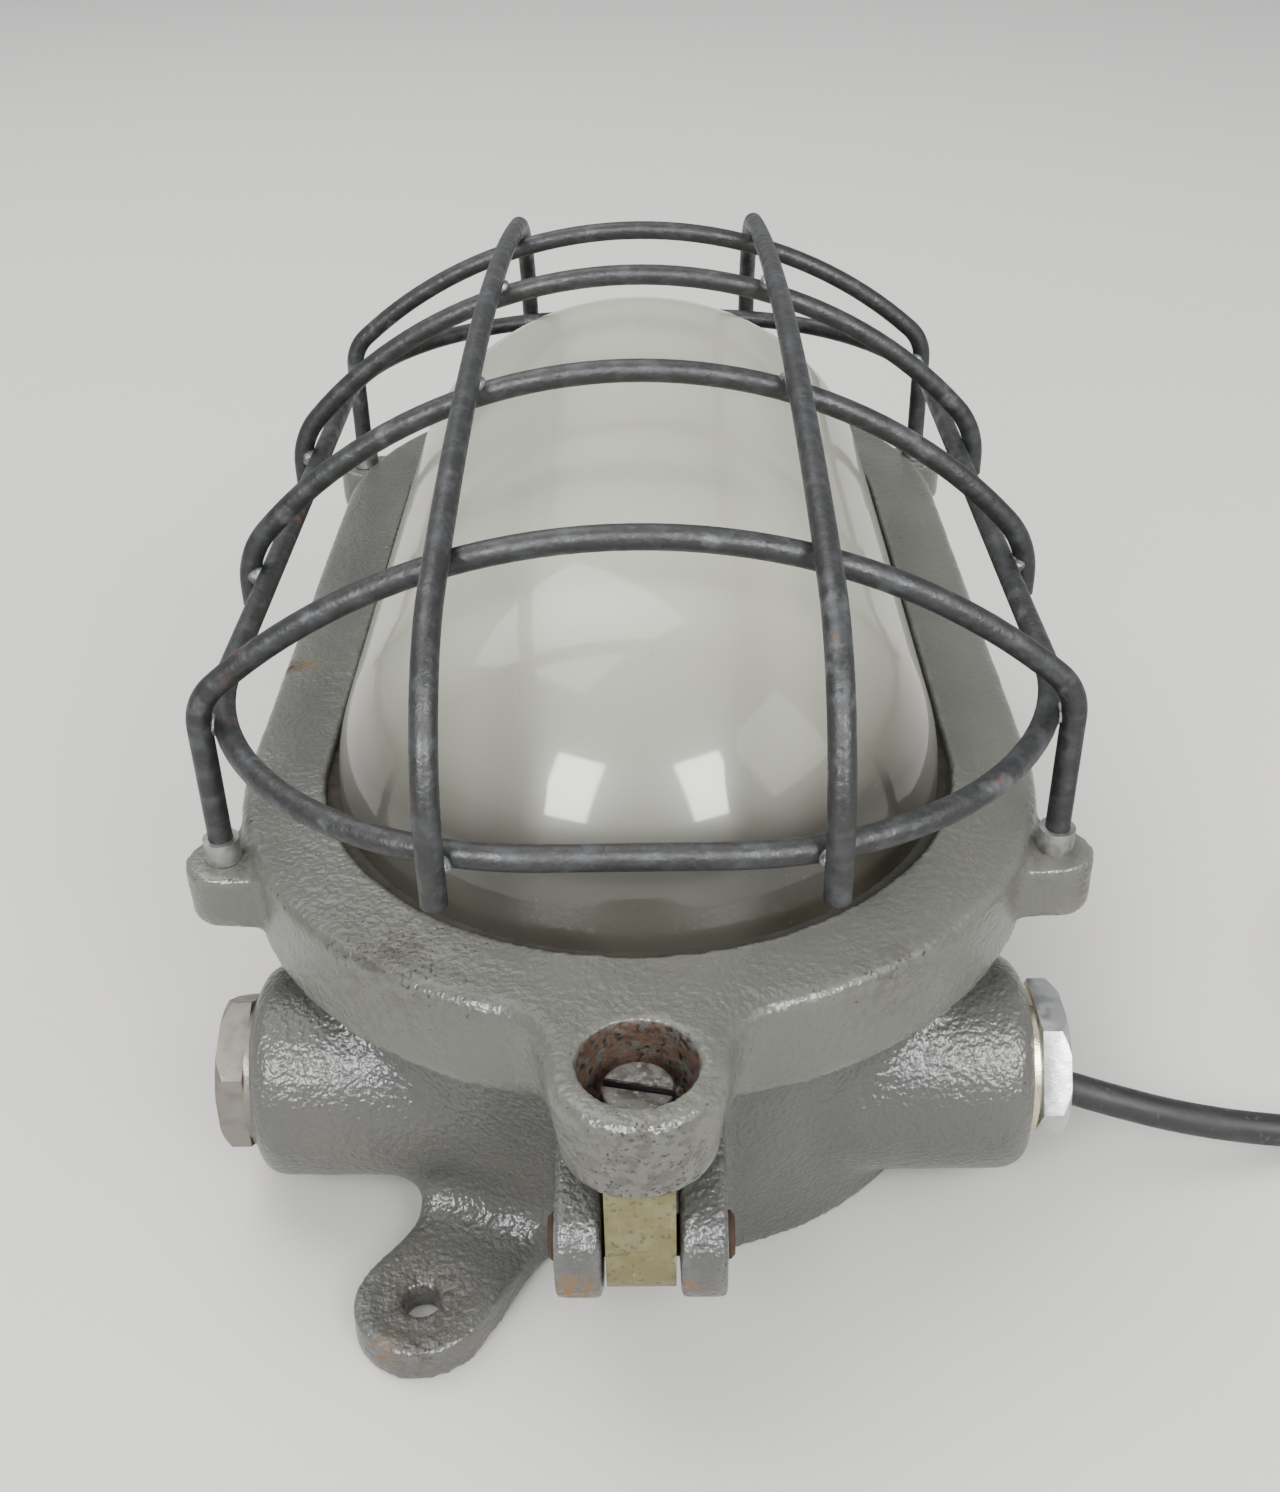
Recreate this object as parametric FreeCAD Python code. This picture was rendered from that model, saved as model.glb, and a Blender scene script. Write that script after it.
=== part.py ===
"""Oblong cast-iron bulkhead light with a hinged, caged cover, a blanked cable entry and a glanded lead.

Millimetres. Origin at the centre of the mounting face, +Z out of the wall, +Y towards the cover hinge,
+X towards the gland. Every sub-part is one STEP file in parts/.
"""
import FreeCAD, Part
import os
from math import acos, atan2, cos, degrees, hypot, pi, radians, sin, sqrt, tan

V = FreeCAD.Vector
X, Y, Z = V(1, 0, 0), V(0, 1, 0), V(0, 0, 1)

# ---- driving dimensions -------------------------------------------------------------------------
HALF = 72.0            # half length of the straight sides of every oblong outline
RING_TOP = 78.0        # mounting face to the top of the cover ring
RING_BOTTOM = 57.0
RIM_TOP = 65.0         # top of the housing rim, inside the cover ring's skirt
FLOOR = 6.0            # thickness of the housing's back

BODY_R_FOOT = 72.5     # outer radius of the housing's ends at the wall ...
BODY_R = 78.0          # ... and under the cover ring
CAVITY_R_FOOT = 67.0
CAVITY_R = 74.0

RING_R = 86.0
RING_SKIRT = 5.0
RING_PLATE = 7.0
RING_EDGE = 2.5        # rounding of the ring's top edge
OPENING_R = 68.0
COLLAR_R = 71.0
COLLAR_BOTTOM = 61.0

GLASS_R = 65.0
GLASS_WALL = 4.0
GLASS_RISE = 54.0      # dome height over the ring
GLASS_BOTTOM = 62.0

SCREW_Y = -168.0       # closing screw, nut and clevis all lie on this line
BOSS_R_TOP = 16.5
BOSS_R_BOTTOM = 14.3
BOSS_BOTTOM = 59.3
BOSS_SEAT = 65.5
COUNTERBORE_R = 10.6
SCREW_HOLE_R = 4.5
SCREW_R = 3.2
SCREW_LENGTH = 25.0
SCREW_HEAD_R, SCREW_HEAD = 6.5, 5.0
SCREW_WASHER_R, SCREW_WASHER = 7.5, 1.5

PIN_Z = 34.5           # swing nut's pin
PIN_R = 3.75
EAR_R = 11.0
EAR_X = (7.1, 15.8)
CLEVIS_WALL = ((-143.0, 18.0), (-143.0, 54.0))   # where its tangents meet the housing's end, (y, z)
CLEVIS_BACK = -151.5   # end of the gap for the swing nut
CLEVIS_BLEND = 3.0
NECK_BLEND = 14.0
NUT_HALF_W = 6.35
NUT_HALF_D = 9.0
NUT_TOP = 57.3
NUT_BORE_R = 4.0

HINGE_Y, HINGE_Z = 168.0, 50.0
KNUCKLE_R = 7.5
HINGE_PIN_R = 3.0
KNUCKLE_MID = 13.7     # half width of the cover's knuckle
KNUCKLE_X = (14.2, 26.0)
HINGE_WALL = ((143.0, 34.0), (143.0, 55.0))
HINGE_FRONT = 152.5    # start of the gap for the cover's knuckle
ARM_Y, ARM_Z = (155.5, 162.0), (61.0, 76.0)

ENTRY_Y, ENTRY_Z = -116.0, 28.0
ENTRY_R = 22.4
ENTRY_X = 80.0
ENTRY_BORE = 14.2
ENTRY_BLEND, ENTRY_EDGE = 6.0, 5.0
HEX_FLATS = 30.0

LUG_X, LUG_Y = 44.0, 160.0
LUG_R = 13.5
LUG_T = 8.0
LUG_HOLE_R = 3.75
LUG_ROOT, LUG_ROOT_R = (-26.0, -128.0), 13.0
LUG_BLEND = 8.0

WIRE = 5.0             # cage wire diameter
WELD = 0.02            # how far crossing wires sink into each other
BAR_X = 35.0
BAR_APEX = RING_TOP + 75.2
BAR_ARCH_R = 700.0
BAR_CORNER_R = 37.0
END_HOOP_Y, MID_HOOP_Y = 103.0, 35.0
BELT_Z = RING_TOP + 27.6
BELT_HALF_W, BELT_HALF_L, BELT_R = 84.3, 147.0, 68.0
WIRE_END_Z = RING_TOP + 20.0
CAGE_EAR_Z = (62.0, 74.5)
CAGE_EAR_R = 8.0
CAGE_EAR_ROOT_R, CAGE_EAR_ROOT_X = 10.5, 74.0
LEG_COLLAR_R, LEG_COLLAR = 3.7, 5.0
END_CORNER_R, END_ARCH_R = 12.0, 124.0
MID_CORNER_R, MID_ARCH_R = 20.0, 115.0
EAR_BLEND = 4.0

LAMP_Z = 52.0          # axis of the lampholder and its lamp
TRAY_Z = 16.0
TRAY_R, TRAY_HALF = 58.0, 70.0
HOLDER_R, HOLDER_BORE_R = 22.0, 14.2
HOLDER_Y = (52.0, 100.0)
BULB_Y, BULB_R, BULB_NECK_R, BULB_NECK_Y = 14.0, 30.0, 13.0, 58.0
PILLAR_R, EARTH_PILLAR_R = 5.0, 6.0
EARTH_Z = 11.0
EARTH_WASHER = 1.2

CORD = 7.0             # lead diameter
EXIT = V(88.0, -117.5, 22.5)
COIL_C = V(222.0, -73.5, 0.0)
COIL_R = 41.5          # middle of the wound turns
BUNDLE_R = 10.7        # radius of the bundle that the turns make
PLUG_R = 18.5
PLUG_GRIP_R = 11.0
BOOT_R = 7.5
BOOT, GRIP, PLUG_END = 22.0, 36.0, 58.0    # distances along the plug from the lead's end
PLUG_PIN_R, PLUG_PIN, PLUG_PIN_X = 2.4, 19.0, 9.5


# ---- helpers ------------------------------------------------------------------------------------
def oblong(r, z, half=HALF):
    """Closed outline: two straight sides joined by half circles."""
    rear = Part.Arc(V(r, half, z), V(0, half + r, z), V(-r, half, z)).toShape()
    front = Part.Arc(V(-r, -half, z), V(0, -half - r, z), V(r, -half, z)).toShape()
    left = Part.makeLine(V(-r, half, z), V(-r, -half, z))
    right = Part.makeLine(V(r, -half, z), V(r, half, z))
    return Part.Wire([rear, left, front, right])


def slab(r, z0, z1, half=HALF):
    return Part.Face(oblong(r, z0, half)).extrude(V(0, 0, z1 - z0))


def band(r_out, r_in, z0, z1):
    return slab(r_out, z0, z1).cut(slab(r_in, z0, z1))


def taper(r0, z0, r1, z1):
    """Oblong block whose walls lean: a cone at each end and a wedge between them."""
    ends = [Part.makeCone(r0, r1, z1 - z0, V(0, s * HALF, z0)) for s in (1, -1)]
    section = [V(-r0, -HALF, z0), V(r0, -HALF, z0), V(r1, -HALF, z1), V(-r1, -HALF, z1)]
    return fuse(ends + [prism(section, V(0, 2 * HALF, 0))])


def rod(r, start, end):
    run = end - start
    return Part.makeCylinder(r, run.Length, start, run)


def tube(r_out, r_in, start, end):
    return rod(r_out, start, end).cut(rod(r_in, start, end))


def box(x, y, z):
    return Part.makeBox(x[1] - x[0], y[1] - y[0], z[1] - z[0], V(x[0], y[0], z[0]))


def prism(points, along):
    return Part.Face(Part.makePolygon(points + points[:1])).extrude(along)


def fuse(shapes):
    return shapes[0].multiFuse(shapes[1:]).removeSplitter() if len(shapes) > 1 else shapes[0]


def joined(a, b, r, least_rise=0.0):
    """The two shapes fused, with a concave blend of radius r along the seam where their skins meet."""
    both = fuse([a, b])
    seam = []
    for edge in both.Edges:
        middle = Part.Vertex(edge.valueAt((edge.FirstParameter + edge.LastParameter) / 2))
        on_both = all(s.Shells[0].distToShape(middle)[0] < 0.05 for s in (a, b))
        if on_both and edge.BoundBox.ZLength >= least_rise:
            seam.append(edge)
    return both.makeFillet(r, seam)


def at_height(shape, z):
    """Edges that lie wholly at height z."""
    return [e for e in shape.Edges if abs(e.BoundBox.ZMin - z) < 0.01 and e.BoundBox.ZLength < 0.01]


def mirror_x(shape):
    return shape.mirror(V(0, 0, 0), X)


def hexagon(flats, start, along, turn=0.0):
    """Hexagonal prism about the X axis line through start."""
    r = flats / sqrt(3)
    points = [start + V(0, r * cos(turn + k * pi / 3), r * sin(turn + k * pi / 3)) for k in range(6)]
    return prism(points, V(along, 0, 0))


def bend(start, centre, axis, angle, r):
    """Round bar of radius r bent about an axis, from start through an angle in degrees."""
    heading = axis.cross(start - centre)
    disc = Part.Face(Part.Wire(Part.makeCircle(r, start, heading)))
    return disc.revolve(centre, axis, angle)


def spun(points, start, axis):
    """Solid of revolution about a line, from a closed outline of points."""
    return Part.Face(Part.makePolygon(points + points[:1])).revolve(start, axis, 360)


def tangent(centre, r, point, side):
    """Where the tangent from a point (y, z) touches a circle; side is +1 or -1."""
    dy, dz = point[0] - centre[0], point[1] - centre[1]
    turn = atan2(dz, dy) + side * acos(r / hypot(dy, dz))
    return centre[0] + r * cos(turn), centre[1] + r * sin(turn)


def ear(x0, x1, centre, r, wall):
    """Plate between x0 and x1: a round end on an X axis, joined by tangents to two points on a wall."""
    low, high = wall
    sign = 1 if low[0] > centre[0] else -1
    outline = [low, tangent(centre, r, low, -sign), centre, tangent(centre, r, high, sign), high]
    plate = prism([V(x0, y, z) for y, z in outline], V(x1 - x0, 0, 0))
    return plate.fuse(rod(r, V(x0, *centre), V(x1, *centre)))


def hull_plate(a, ra, b, rb, z0, z1):
    """Flat plate around two circles: (x, y) centres a and b, radii ra and rb."""
    dx, dy = b[0] - a[0], b[1] - a[1]
    length = hypot(dx, dy)
    base, lean = atan2(dy, dx), acos((ra - rb) / length)
    outline = [(a[0] + ra * cos(base + s * lean), a[1] + ra * sin(base + s * lean)) for s in (1, -1)]
    outline += [(b[0] + rb * cos(base + s * lean), b[1] + rb * sin(base + s * lean)) for s in (-1, 1)]
    up = V(0, 0, z1 - z0)
    web = prism([V(x, y, z0) for x, y in outline], up)
    return fuse([web, rod(ra, V(*a, z0), V(*a, z1)), rod(rb, V(*b, z0), V(*b, z1))])


def arch(place, axis, reach, foot, corner_r, arch_r, apex, r):
    """Cage wire: two upright legs, two corners and a shallow arch, all tangent, in one plane.

    place(u, z) gives the point at distance u along the plane; axis turns it from the low-u leg over the top.
    """
    across = reach - corner_r
    arch_z = apex - arch_r
    corner_z = arch_z + sqrt((arch_r - corner_r) ** 2 - across**2)
    rise = degrees(atan2(corner_z - arch_z, across))
    lean = radians(rise)
    on_arch = place(-arch_r * cos(lean), arch_z + arch_r * sin(lean))
    far = place(across + corner_r * cos(lean), corner_z + corner_r * sin(lean))
    return fuse([
        rod(r, place(-reach, foot), place(-reach, corner_z)),
        bend(place(-reach, corner_z), place(-across, corner_z), axis, rise, r),
        bend(on_arch, place(0, arch_z), axis, 180 - 2 * rise, r),
        bend(far, place(across, corner_z), axis, rise, r),
        rod(r, place(reach, foot), place(reach, corner_z)),
    ])


def lead(points, r, name):
    """Tube along straight runs joined by tangent arcs as large as the runs allow; prints its radii."""
    runs = [(b - a).Length for a, b in zip(points, points[1:])]
    solids, length, radii, at = [], 0.0, [], points[0]
    for k in range(1, len(points) - 1):
        before = (points[k] - points[k - 1]).normalize()
        after = (points[k + 1] - points[k]).normalize()
        turn = before.getAngle(after)
        cut = 0.45 * min(runs[k - 1], runs[k])
        radius = cut / tan(turn / 2)
        axis = before.cross(after).normalize()
        enter, leave = points[k] - before * cut, points[k] + after * cut
        solids.append(rod(r, at, enter))
        solids.append(bend(enter, enter + axis.cross(before) * radius, axis, degrees(turn), r))
        length += (enter - at).Length + radius * turn
        radii.append(round(radius))
        at = leave
    solids.append(rod(r, at, points[-1]))
    length += (points[-1] - at).Length
    solid = fuse(solids)
    share = solid.Volume / (pi * r * r * length)
    print(f"{name}: length {length:.1f}, radii {radii}, volume is {share:.4f} of section times length")
    return solid


# ---- housing ------------------------------------------------------------------------------------
def base_housing():
    solid = fuse([taper(BODY_R_FOOT, 0, BODY_R, RING_BOTTOM), slab(BODY_R, RING_BOTTOM, RIM_TOP)])
    clevis = ear(-EAR_X[1], EAR_X[1], (SCREW_Y, PIN_Z), EAR_R, CLEVIS_WALL)
    solid = joined(solid, clevis, CLEVIS_BLEND)
    for lug in turned(hull_plate((-LUG_X, -LUG_Y), LUG_R, LUG_ROOT, LUG_ROOT_R, 0, LUG_T)):
        solid = joined(solid, lug, LUG_BLEND)
    entry = rod(ENTRY_R, V(20, ENTRY_Y, ENTRY_Z), V(ENTRY_X, ENTRY_Y, ENTRY_Z))
    entry = entry.makeFillet(ENTRY_EDGE, [e for e in entry.Edges if abs(e.CenterOfMass.x - ENTRY_X) < 0.1])
    for boss in (entry, mirror_x(entry)):
        solid = joined(solid, boss, ENTRY_BLEND)
    hinge = ear(-KNUCKLE_X[1], KNUCKLE_X[1], (HINGE_Y, HINGE_Z), KNUCKLE_R, HINGE_WALL)
    solid = fuse([solid, hinge])
    cuts = [taper(CAVITY_R_FOOT, FLOOR, CAVITY_R, RIM_TOP)]
    cuts.append(box((-EAR_X[0], EAR_X[0]), (SCREW_Y - 20, CLEVIS_BACK), (PIN_Z - 20, RIM_TOP)))
    cuts.append(box((-KNUCKLE_X[0], KNUCKLE_X[0]), (HINGE_FRONT, HINGE_Y + 20), (HINGE_Z - 25, RIM_TOP)))
    solid = solid.cut(cuts[0].multiFuse(cuts[1:]))
    pillars = [rod(PILLAR_R, V(x, y, 0), V(x, y, TRAY_Z)) for x, y in TRAY_FIXINGS]
    pillars.append(rod(EARTH_PILLAR_R, V(*EARTH_AT, 0), V(*EARTH_AT, EARTH_Z)))
    solid = fuse([solid] + pillars)
    holes = []
    for s in (1, -1):
        holes.append(rod(ENTRY_BORE, V(s * 30, ENTRY_Y, ENTRY_Z), V(s * ENTRY_X, ENTRY_Y, ENTRY_Z)))
    holes.append(rod(PIN_R + 0.05, V(-20, SCREW_Y, PIN_Z), V(20, SCREW_Y, PIN_Z)))
    holes.append(rod(HINGE_PIN_R + 0.02, V(-30, HINGE_Y, HINGE_Z), V(30, HINGE_Y, HINGE_Z)))
    for s in (1, -1):
        at = V(s * LUG_X, s * LUG_Y, 0)
        holes.append(rod(LUG_HOLE_R, at, at + Z * 20))
        holes.append(rod(LUG_R - 4.0, at + Z * (LUG_T - 0.5), at + Z * 20))
    holes += [rod(1.6, V(x, y, FLOOR + 1), V(x, y, TRAY_Z)) for x, y in TRAY_FIXINGS]
    holes.append(rod(2.1, V(*EARTH_AT, 4), V(*EARTH_AT, EARTH_Z)))
    return solid.cut(holes[0].multiFuse(holes[1:]))


def turned(shape):
    """The shape and its copy turned half round the Z axis: the lugs lie on a diagonal."""
    other = shape.copy()
    other.rotate(V(0, 0, 0), Z, 180)
    return [shape, other]


TRAY_FIXINGS = [(s * 42.0, y) for s in (1, -1) for y in (-48.0, 100.0)]
EARTH_AT = (-42.0, -86.0)


def swing_nut():
    body = box((-NUT_HALF_W, NUT_HALF_W), (SCREW_Y - NUT_HALF_D, SCREW_Y + NUT_HALF_D), (PIN_Z, NUT_TOP))
    heel = rod(NUT_HALF_D, V(-NUT_HALF_W, SCREW_Y, PIN_Z), V(NUT_HALF_W, SCREW_Y, PIN_Z))
    thread = rod(NUT_BORE_R, V(0, SCREW_Y, PIN_Z), V(0, SCREW_Y, NUT_TOP))
    eye = rod(PIN_R + 0.1, V(-NUT_HALF_W, SCREW_Y, PIN_Z), V(NUT_HALF_W, SCREW_Y, PIN_Z))
    return fuse([body, heel]).cut(thread.fuse(eye))


def riveted_pin(r, half, y, z, head_r, head):
    """Plain pin with a spread, chamfered head at each end."""
    pin = rod(r, V(-half, y, z), V(half, y, z))
    heads = []
    for s in (1, -1):
        cap = rod(head_r, V(s * half, y, z), V(s * (half + head), y, z))
        rim = [e for e in cap.Edges if abs(abs(e.CenterOfMass.x) - half - head) < 0.01]
        heads.append(cap.makeChamfer(head * 0.6, rim))
    return fuse([pin] + heads)


def closing_screw():
    seat = BOSS_SEAT + SCREW_WASHER
    top = seat + SCREW_HEAD
    tip = seat - SCREW_LENGTH
    head = rod(SCREW_HEAD_R, V(0, SCREW_Y, seat), V(0, SCREW_Y, top))
    head = head.makeFillet(0.6, [e for e in head.Edges if abs(e.CenterOfMass.z - top) < 0.01])
    slot = box((-8, 8), (-1, 1), (0, 3))
    slot.rotate(V(0, 0, 0), Z, -12)
    slot.translate(V(0, SCREW_Y, seat + 2.8))
    shank = rod(SCREW_R, V(0, SCREW_Y, tip), V(0, SCREW_Y, seat))
    shank = shank.makeChamfer(0.8, [e for e in shank.Edges if abs(e.CenterOfMass.z - tip) < 0.01])
    return fuse([head, shank]).cut(slot)


# ---- cover --------------------------------------------------------------------------------------
def cover_ring():
    solid = slab(RING_R, RING_BOTTOM, RING_TOP)
    boss = Part.makeCone(BOSS_R_BOTTOM, BOSS_R_TOP, RING_TOP - BOSS_BOTTOM, V(0, SCREW_Y, BOSS_BOTTOM))
    root = SCREW_Y + 15.0
    outlines = []
    for w, z in ((BOSS_R_BOTTOM, BOSS_BOTTOM), (BOSS_R_TOP, RING_TOP)):
        corners = [V(-w - 3, root, z), V(w + 3, root, z), V(w, SCREW_Y, z), V(-w, SCREW_Y, z)]
        outlines.append(Part.makePolygon(corners + corners[:1]))
    solid = joined(solid, fuse([boss, Part.makeLoft(outlines, True, True)]), NECK_BLEND, least_rise=10)
    solid = solid.makeFillet(RING_EDGE, at_height(solid, RING_TOP))
    for sx in (1, -1):
        for sy in (1, -1):
            tip = (sx * END_LEG_X, sy * END_HOOP_Y)
            root_at = (sx * CAGE_EAR_ROOT_X, sy * (END_HOOP_Y - 2))
            plate = hull_plate(tip, CAGE_EAR_R, root_at, CAGE_EAR_ROOT_R, *CAGE_EAR_Z)
            solid = joined(solid, plate, EAR_BLEND, least_rise=5)
    solid = solid.cut(slab(RING_R - RING_SKIRT, RING_BOTTOM, RING_TOP - RING_PLATE))
    solid = fuse([solid, slab(COLLAR_R, COLLAR_BOTTOM, RING_TOP - RING_PLATE)])
    solid = solid.cut(slab(OPENING_R, RING_BOTTOM, RING_TOP))
    low, high = (ARM_Y[0], ARM_Z[0]), (ARM_Y[1], ARM_Z[1])
    pin = (HINGE_Y, HINGE_Z)
    arm = [low, (ARM_Y[0], ARM_Z[1]), high]
    arm += [tangent(pin, KNUCKLE_R, high, -1), pin, tangent(pin, KNUCKLE_R, low, 1)]
    arm = prism([V(-KNUCKLE_MID, y, z) for y, z in arm], V(2 * KNUCKLE_MID, 0, 0))
    knuckle = rod(KNUCKLE_R, V(-KNUCKLE_MID, HINGE_Y, HINGE_Z), V(KNUCKLE_MID, HINGE_Y, HINGE_Z))
    solid = fuse([solid, arm, knuckle])
    holes = [
        rod(COUNTERBORE_R, V(0, SCREW_Y, BOSS_SEAT), V(0, SCREW_Y, RING_TOP)),
        rod(SCREW_HOLE_R, V(0, SCREW_Y, BOSS_BOTTOM), V(0, SCREW_Y, BOSS_SEAT)),
        rod(HINGE_PIN_R + 0.1, V(-KNUCKLE_MID, HINGE_Y, HINGE_Z), V(KNUCKLE_MID, HINGE_Y, HINGE_Z)),
    ]
    for sx in (1, -1):
        for sy in (1, -1):
            at = V(sx * END_LEG_X, sy * END_HOOP_Y, CAGE_EAR_Z[0])
            holes.append(rod(WIRE / 2, at, at + Z * 20))
    return solid.cut(holes[0].multiFuse(holes[1:]))


def dome(r, rise, z0):
    """Oblong dome on a straight skirt: a quarter ellipse along the sides and round both ends."""
    curve = Part.Arc(Part.Ellipse(V(0, 0, RING_TOP), max(r, rise), min(r, rise)), 0, pi / 2)
    edge = curve.toShape()
    ends = [V(0, 0, RING_TOP + rise), V(0, 0, z0), V(r, 0, z0), V(r, 0, RING_TOP)]
    edge.rotate(V(0, 0, RING_TOP), X, 90)
    outline = Part.Wire(Part.__sortEdges__([edge] + [Part.makeLine(a, b) for a, b in zip(ends, ends[1:])]))
    half = Part.Face(outline)
    solids = []
    for s in (1, -1):
        turn = half.copy()
        turn.translate(V(0, s * HALF, 0))
        solids.append(turn.revolve(V(0, s * HALF, 0), Z, s * 180))
        flank = half.copy()
        flank.translate(V(0, -HALF, 0))
        if s < 0:
            flank = mirror_x(flank)
        solids.append(flank.extrude(V(0, 2 * HALF, 0)))
    return fuse(solids)


def glass_dome():
    outer = dome(GLASS_R, GLASS_RISE, GLASS_BOTTOM)
    return outer.cut(dome(GLASS_R - GLASS_WALL, GLASS_RISE - GLASS_WALL, GLASS_BOTTOM))


# Crossing wires are one diameter apart, so the cage's reaches follow from its belt and its bars.
TOUCH = WIRE - WELD
BELT_CX, BELT_CY = BELT_HALF_W - BELT_R, BELT_HALF_L - BELT_R
END_LEG_X = BELT_CX + sqrt((BELT_R + TOUCH) ** 2 - (END_HOOP_Y - BELT_CY) ** 2)
MID_LEG_X = BELT_HALF_W + TOUCH
BAR_REACH = BELT_CY + sqrt((BELT_R + TOUCH) ** 2 - (BAR_X - BELT_CX) ** 2)


def hoop(y, leg_x, foot, corner_r, arch_r):
    """Cross hoop whose arch passes one wire diameter under the two long bars."""
    bar_z = BAR_APEX - BAR_ARCH_R + sqrt(BAR_ARCH_R**2 - y**2)
    bar_slope = y / sqrt(BAR_ARCH_R**2 - y**2)
    drop = sqrt(arch_r**2 - BAR_X**2)
    apex = bar_z - TOUCH * sqrt(1 + bar_slope**2 + (BAR_X / drop) ** 2) + arch_r - drop
    return arch(lambda u, z: V(u, y, z), Y, leg_x, foot, corner_r, arch_r, apex, WIRE / 2)


def bar(x):
    def place(u, z):
        return V(x, u, z)
    return arch(place, X * -1, BAR_REACH, WIRE_END_Z, BAR_CORNER_R, BAR_ARCH_R, BAR_APEX, WIRE / 2)


def belt():
    """Closed wire round the cage: a rectangle with large round corners."""
    parts = []
    for sx, sy in ((1, 1), (-1, 1), (-1, -1), (1, -1)):
        centre = V(sx * BELT_CX, sy * BELT_CY, BELT_Z)
        start = centre + (V(sx * BELT_R, 0, 0) if sx == sy else V(0, sy * BELT_R, 0))
        parts.append(bend(start, centre, Z, 90, WIRE / 2))
    for s in (1, -1):
        parts.append(rod(WIRE / 2, V(s * BELT_HALF_W, -BELT_CY, BELT_Z), V(s * BELT_HALF_W, BELT_CY, BELT_Z)))
        parts.append(rod(WIRE / 2, V(-BELT_CX, s * BELT_HALF_L, BELT_Z), V(BELT_CX, s * BELT_HALF_L, BELT_Z)))
    return fuse(parts)


def leg_collars():
    top = CAGE_EAR_Z[1]
    feet = [V(sx * END_LEG_X, sy * END_HOOP_Y, top) for sx in (1, -1) for sy in (1, -1)]
    return [tube(LEG_COLLAR_R, WIRE / 2, foot, foot + Z * LEG_COLLAR) for foot in feet]


# ---- cable entries ------------------------------------------------------------------------------
def entry_fitting(side, hole_r, hex_x, turn):
    """Hexagon-headed screw-in piece in a cable entry, with an optional through hole."""
    x0, x1 = hex_x
    at = V(side * x0, ENTRY_Y, ENTRY_Z)
    head = hexagon(HEX_FLATS, at, side * (x1 - x0), turn)
    cone_r = HEX_FLATS / 2 + 0.4
    trim = Part.makeCone(cone_r + 3.0, cone_r, 3.0, at + X * side * (x1 - x0 - 3.0), X * side)
    head = head.common(rod(30, at, at + X * side * (x1 - x0 - 3.0)).fuse(trim))
    barrel = rod(ENTRY_BORE - 0.2, V(side * 70, ENTRY_Y, ENTRY_Z), at)
    solid = fuse([head, barrel])
    if not hole_r:
        return solid
    return solid.cut(rod(hole_r, V(side * 69, ENTRY_Y, ENTRY_Z), V(side * 90, ENTRY_Y, ENTRY_Z)))


def entry_washer(side, thickness, r_out):
    face = V(side * ENTRY_X, ENTRY_Y, ENTRY_Z)
    return tube(r_out, ENTRY_BORE, face, face + X * side * thickness)


# ---- lamp and wiring ----------------------------------------------------------------------------
def on_axis(y):
    return V(0, y, LAMP_Z)


def lampholder_body():
    mouth, back = on_axis(HOLDER_Y[0]), on_axis(HOLDER_Y[1])
    body = fuse([rod(HOLDER_R, mouth, back), rod(16.0, back, on_axis(108))])
    return body.cut(fuse([rod(HOLDER_BORE_R, mouth, on_axis(86)), rod(8.0, on_axis(86), on_axis(92))]))


def lampholder_bracket():
    foot = box((-18, 18), (86, 110), (TRAY_Z + 1, TRAY_Z + 3))
    back = box((-18, 18), (108, 110), (TRAY_Z + 3, LAMP_Z + 18))
    return fuse([foot, back])


def tray():
    plate = slab(TRAY_R, TRAY_Z, TRAY_Z + 1, TRAY_HALF)
    front = box((-80, 80), (-140, -64), (0, 40))
    notch = box((-12, 12), (113, 140), (0, 40))
    holes = [rod(2.0, V(x, y, TRAY_Z), V(x, y, TRAY_Z + 1)) for x, y in TRAY_FIXINGS]
    return plate.cut(front.multiFuse([notch] + holes))


def pan_screw(x, y, z, r, head, shank_r, length):
    """Slotted round-headed screw standing on a face at height z."""
    cap = rod(r, V(x, y, z), V(x, y, z + head))
    cap = cap.makeFillet(head * 0.45, [e for e in cap.Edges if abs(e.CenterOfMass.z - z - head) < 0.01])
    body = fuse([cap, rod(shank_r, V(x, y, z - length), V(x, y, z))])
    return body.cut(box((x - r - 1, x + r + 1), (y - 0.4, y + 0.4), (z + head * 0.45, z + head + 1)))


def bulb_glass():
    """Pear-shaped lamp: a ball run into a neck."""
    start, end = on_axis(BULB_Y - BULB_R), on_axis(BULB_NECK_Y)
    lean, middle = radians(52), pi * 0.6
    shoulder = V(BULB_R * sin(lean), BULB_Y + BULB_R * cos(lean), LAMP_Z)
    on_ball = V(BULB_R * sin(middle), BULB_Y + BULB_R * cos(middle), LAMP_Z)
    front = Part.Arc(start, on_ball, shoulder).toShape()
    neck = V(BULB_NECK_R, BULB_NECK_Y, LAMP_Z)
    flank = Part.BezierCurve()
    flank.setPoles([shoulder, shoulder + V(-cos(lean) * 12, sin(lean) * 12, 0), neck - Y * 12, neck])
    outline = Part.Wire([front, flank.toShape(), Part.makeLine(neck, end), Part.makeLine(end, start)])
    return Part.Face(outline).revolve(on_axis(0), Y, 360)


TERMINAL_X = (-12.0, 0.0, 12.0)
BLOCK_Y, BLOCK_Z = (-110.0, -92.0), (FLOOR, 25.0)
CLAMP_Z = 15.0
CLAMP_R = 3.4
CLAMP_Y = -101.0


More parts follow.
